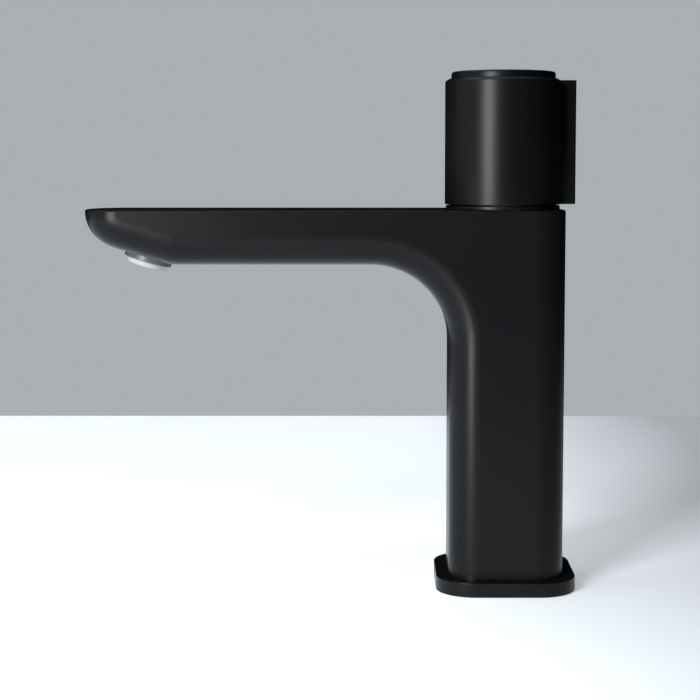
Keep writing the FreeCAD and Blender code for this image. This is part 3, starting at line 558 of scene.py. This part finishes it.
def makeNut():
    low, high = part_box("mounting_nut")
    stud = middle("mounting_stud")
    studLow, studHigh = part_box("mounting_stud")
    bore = (studHigh.x - studLow.x) / 2
    flat = (high.y - low.y) / 2
    corner = nutShape["edgeRadius"] * mm
    drop = nutShape["chamfer"] * mm
    boreDrop = nutShape["boreChamfer"] * mm
    around = nutShape["around"]
    shape = bmesh.new()
    # Each ring of the outside is the smaller of the six-sided outline and a turned chamfer.
    levels = [(low.z, corner), (low.z + drop, math.inf), (high.z - drop, math.inf),
              (high.z, corner)]
    rings = []
    for level, limit in levels:
        ring = []
        for step in range(around):
            angle = math.tau * step / around
            toFlat = (angle + math.radians(30)) % math.radians(60) - math.radians(30)
            reach = min(flat / math.cos(toFlat), limit)
            turned = angle + math.radians(90)
            ring.append(shape.verts.new((stud.x + reach * math.cos(turned),
                                         stud.y + reach * math.sin(turned), level)))
        rings.append(ring)
    for level, reach in ((high.z, bore + boreDrop), (high.z - boreDrop, bore),
                         (low.z + boreDrop, bore), (low.z, bore + boreDrop)):
        rings.append([shape.verts.new((
            stud.x + reach * math.cos(math.tau * step / around + math.radians(90)),
            stud.y + reach * math.sin(math.tau * step / around + math.radians(90)), level))
            for step in range(around)])
    for ring, above in zip(rings, rings[1:] + rings[:1]):
        for step in range(around):
            after = (step + 1) % around
            shape.faces.new((ring[step], ring[after], above[after], above[step]))
    addPiece("mountingNut", finished(shape), "faucet", "mounting_nut")


def makeHorseshoe(name, node, edge):
    low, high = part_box(node)
    outer = (high.y - low.y) / 2
    slot = clamp["slotReach"] * mm
    slotEnd = clamp["slotEnd"] * mm
    steps = clamp["around"]
    mouth = math.asin(slot / outer)
    outline = []
    for step in range(steps + 1):
        angle = math.pi - mouth - step * (math.tau - 2 * mouth) / steps
        outline.append((outer * math.cos(angle), outer * math.sin(angle)))
    for step in range(steps // 2 + 1):
        angle = -math.pi / 2 + math.pi * step / (steps // 2)
        outline.append((slotEnd + slot * math.cos(angle), slot * math.sin(angle)))
    shape = bmesh.new()
    face = shape.faces.new([shape.verts.new((across, aside, low.z)) for across, aside in outline])
    raised = bmesh.ops.extrude_face_region(shape, geom=[face])
    for item in raised["geom"]:
        if isinstance(item, bmesh.types.BMVert):
            item.co.z = high.z
    rims = [rim for rim in shape.edges if rim.verts[0].co.z == rim.verts[1].co.z]
    bmesh.ops.bevel(shape, geom=rims, offset=edge * mm, segments=3, profile=0.5, affect="EDGES")
    stud = middle("mounting_stud")
    hole = roundRod(clamp["hole"], low.z / mm - 1, high.z / mm + 1,
                    Matrix.Translation((stud.x, stud.y, 0)))
    addPiece(name, carved(finished(shape), [hole]), "faucet", node)


makeStud()
makeNut()
makeHorseshoe("clampWasher", "clamp_washer", clamp["rubberEdge"])
makeHorseshoe("clampBracket", "clamp_bracket", clamp["steelEdge"])
print("pieces under the deck made")

# Return spring: a coil of round wire.

coil = {"turns": 5.0, "wire": 0.6, "travel": 3.0, "slack": 0.1, "perTurn": 40, "section": 12,
        "endRoom": 1.15}      # room at each end, in wire radii


def coilTree():
    tree, entry, result = newTree("returnCoil", ("Radius", "Rise", "Turns", "Wire"))
    spiral = tree.nodes.new("GeometryNodeCurveSpiral")
    spiral.inputs["Resolution"].default_value = coil["perTurn"]
    tree.links.new(entry.outputs["Turns"], spiral.inputs["Rotations"])
    tree.links.new(entry.outputs["Radius"], spiral.inputs["Start Radius"])
    tree.links.new(entry.outputs["Radius"], spiral.inputs["End Radius"])
    tree.links.new(entry.outputs["Rise"], spiral.inputs["Height"])
    section = tree.nodes.new("GeometryNodeCurvePrimitiveCircle")
    section.inputs["Resolution"].default_value = coil["section"]
    tree.links.new(entry.outputs["Wire"], section.inputs["Radius"])
    sweep = tree.nodes.new("GeometryNodeCurveToMesh")
    sweep.inputs["Fill Caps"].default_value = True
    tree.links.new(spiral.outputs["Curve"], sweep.inputs["Curve"])
    tree.links.new(section.outputs["Curve"], sweep.inputs["Profile Curve"])
    closeTree(tree, sweep.outputs["Mesh"], result, "plainSteel")
    return tree


def makeSpring():
    low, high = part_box("button_spring")
    tall = high.z - low.z
    wire = coil["wire"] * mm
    mesh = grown(coilTree(), {"Radius": (high.y - low.y) / 2 - wire - coil["slack"] * mm,
                              "Rise": tall - 2 * coil["endRoom"] * wire,
                              "Turns": coil["turns"], "Wire": wire})
    mesh.transform(Matrix.Translation((handleAxis.x, 0, low.z + coil["endRoom"] * wire)))
    piece = addPiece("returnSpring", mesh, "handle", "button_spring")
    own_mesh(piece)


makeSpring()
print("spring made")

# Stage: one pale floor with a faint painted glow of light that fades towards the right: painted
# light, bright on the left and dim on the right.

stageSizes = {"left": -1.3, "right": 0.5, "front": -0.42, "back": 0.42, "level": -0.0002,
              "glow": 0.56, "farGlow": 0.06, "fadeFrom": -0.02, "fadeTo": 0.13}
floorLook = {"colour": (0.80, 0.83, 0.86, 1), "glowColour": (0.90, 0.96, 1.0, 1),
             "rough": 0.85, "specular": 0.1}


def makeFloor():
    mesh = bpy.data.meshes.new("paleFloor")
    left, right = stageSizes["left"], stageSizes["right"]
    front, back = stageSizes["front"], stageSizes["back"]
    level = stageSizes["level"]      # a hair under the base, so the two faces don't meet
    mesh.from_pydata([(left, front, level), (right, front, level), (right, back, level),
                      (left, back, level)], [], [(0, 1, 2, 3)])
    thing = linkNew("paleFloor", mesh)
    material, tree, shader, place = newMaterial("paleFloor")
    shader.inputs["Base Color"].default_value = floorLook["colour"]
    shader.inputs["Roughness"].default_value = floorLook["rough"]
    shader.inputs["Specular IOR Level"].default_value = floorLook["specular"]
    shader.inputs["Emission Color"].default_value = floorLook["glowColour"]
    apart = tree.nodes.new("ShaderNodeSeparateXYZ")
    tree.links.new(place.outputs["Object"], apart.inputs["Vector"])
    # Painted light: the floor's glow is strongest on the left and fades out towards the right,
    # standing in for light falling from the left.
    fade = tree.nodes.new("ShaderNodeMapRange")
    fade.inputs["From Min"].default_value = stageSizes["fadeFrom"]
    fade.inputs["From Max"].default_value = stageSizes["fadeTo"]
    fade.inputs["To Min"].default_value = stageSizes["glow"]
    fade.inputs["To Max"].default_value = stageSizes["farGlow"]
    tree.links.new(apart.outputs["X"], fade.inputs["Value"])
    tree.links.new(fade.outputs["Result"], shader.inputs["Emission Strength"])
    mesh.materials.append(material)


makeFloor()

# Light: one tall soft strip in front on the left, a broad low light on the far left, a large high
# one above it for the floor, and a faint high one that shows the back.

lightSizes = {
    "strip": {"bearing": 31, "rise": 6, "away": 0.95, "size": (0.28, 1.2), "watts": 19.0},
    "leftGlow": {"bearing": 84, "rise": 6, "away": 1.2, "size": (1.1, 0.9), "watts": 1.4},
    "overhead": {"bearing": 90, "rise": 66, "away": 1.5, "size": (1.5, 1.5), "watts": 10.0},
    "rearSoft": {"bearing": 178, "rise": 60, "away": 1.4, "size": (0.9, 0.5), "watts": 1.2},
}
lightColour = (0.94, 0.97, 1.0)
lightAim = Vector((-0.03, 0, 0.12))


def softLight(name, setting):
    lamp = bpy.data.lights.new(name, "AREA")
    lamp.shape = "RECTANGLE"
    lamp.size, lamp.size_y = setting["size"]
    lamp.energy = setting["watts"]
    lamp.color = lightColour
    thing = bpy.data.objects.new(name, lamp)
    bpy.context.scene.collection.objects.link(thing)
    bearing = math.radians(setting["bearing"])      # from straight in front, turning to the left
    rise = math.radians(setting["rise"])
    away = Vector((-math.sin(bearing) * math.cos(rise), -math.cos(bearing) * math.cos(rise),
                   math.sin(rise)))
    thing.location = lightAim + away * setting["away"]
    thing.rotation_euler = (-away).to_track_quat("-Z", "Y").to_euler()


for lightName, lightSetting in lightSizes.items():
    softLight(lightName, lightSetting)

# The room: pale where the camera looks past the object, and dim where the object mirrors it.

roomLook = {"seen": (0.402, 0.430, 0.448), "mirrored": (0.005, 0.006, 0.008)}


def makeRoom():
    world = bpy.data.worlds.new("paleRoom")
    bpy.context.scene.world = world
    world.use_nodes = True
    tree = world.node_tree
    seen = tree.nodes["Background"]
    seen.inputs["Color"].default_value = (*roomLook["seen"], 1)
    seen.inputs["Strength"].default_value = 1.0
    mirrored = tree.nodes.new("ShaderNodeBackground")
    mirrored.inputs["Color"].default_value = (*roomLook["mirrored"], 1)
    mirrored.inputs["Strength"].default_value = 1.0
    rays = tree.nodes.new("ShaderNodeLightPath")
    choose = tree.nodes.new("ShaderNodeMixShader")
    tree.links.new(rays.outputs["Is Camera Ray"], choose.inputs["Fac"])
    tree.links.new(mirrored.outputs["Background"], choose.inputs[1])
    tree.links.new(seen.outputs["Background"], choose.inputs[2])
    tree.links.new(choose.outputs["Shader"], tree.nodes["World Output"].inputs["Surface"])


makeRoom()
print("stage and light set")

# Camera: at the object's side and at the height of the handle, looking slightly down.

cameraSetting = {
    "place": (-0.04749, -0.63269, 0.1581), "lens": 87.474, "pitch": 5.393, "yaw": 0.063,
    "shiftX": -0.0368, "shiftY": -0.04, "sensor": 36, "near": 0.01, "far": 20,
}
cameraData = bpy.data.cameras.new("camera")
camera = bpy.data.objects.new("camera", cameraData)
bpy.context.scene.collection.objects.link(camera)
cameraData.lens = cameraSetting["lens"]
cameraData.sensor_width = cameraSetting["sensor"]
cameraData.shift_x = cameraSetting["shiftX"]
cameraData.shift_y = cameraSetting["shiftY"]
cameraData.clip_start = cameraSetting["near"]
cameraData.clip_end = cameraSetting["far"]
camera.location = cameraSetting["place"]
camera.rotation_euler = (math.radians(90 - cameraSetting["pitch"]), 0,
                         math.radians(cameraSetting["yaw"]))
bpy.context.scene.camera = camera
bpy.context.scene.view_settings.view_transform = "Standard"
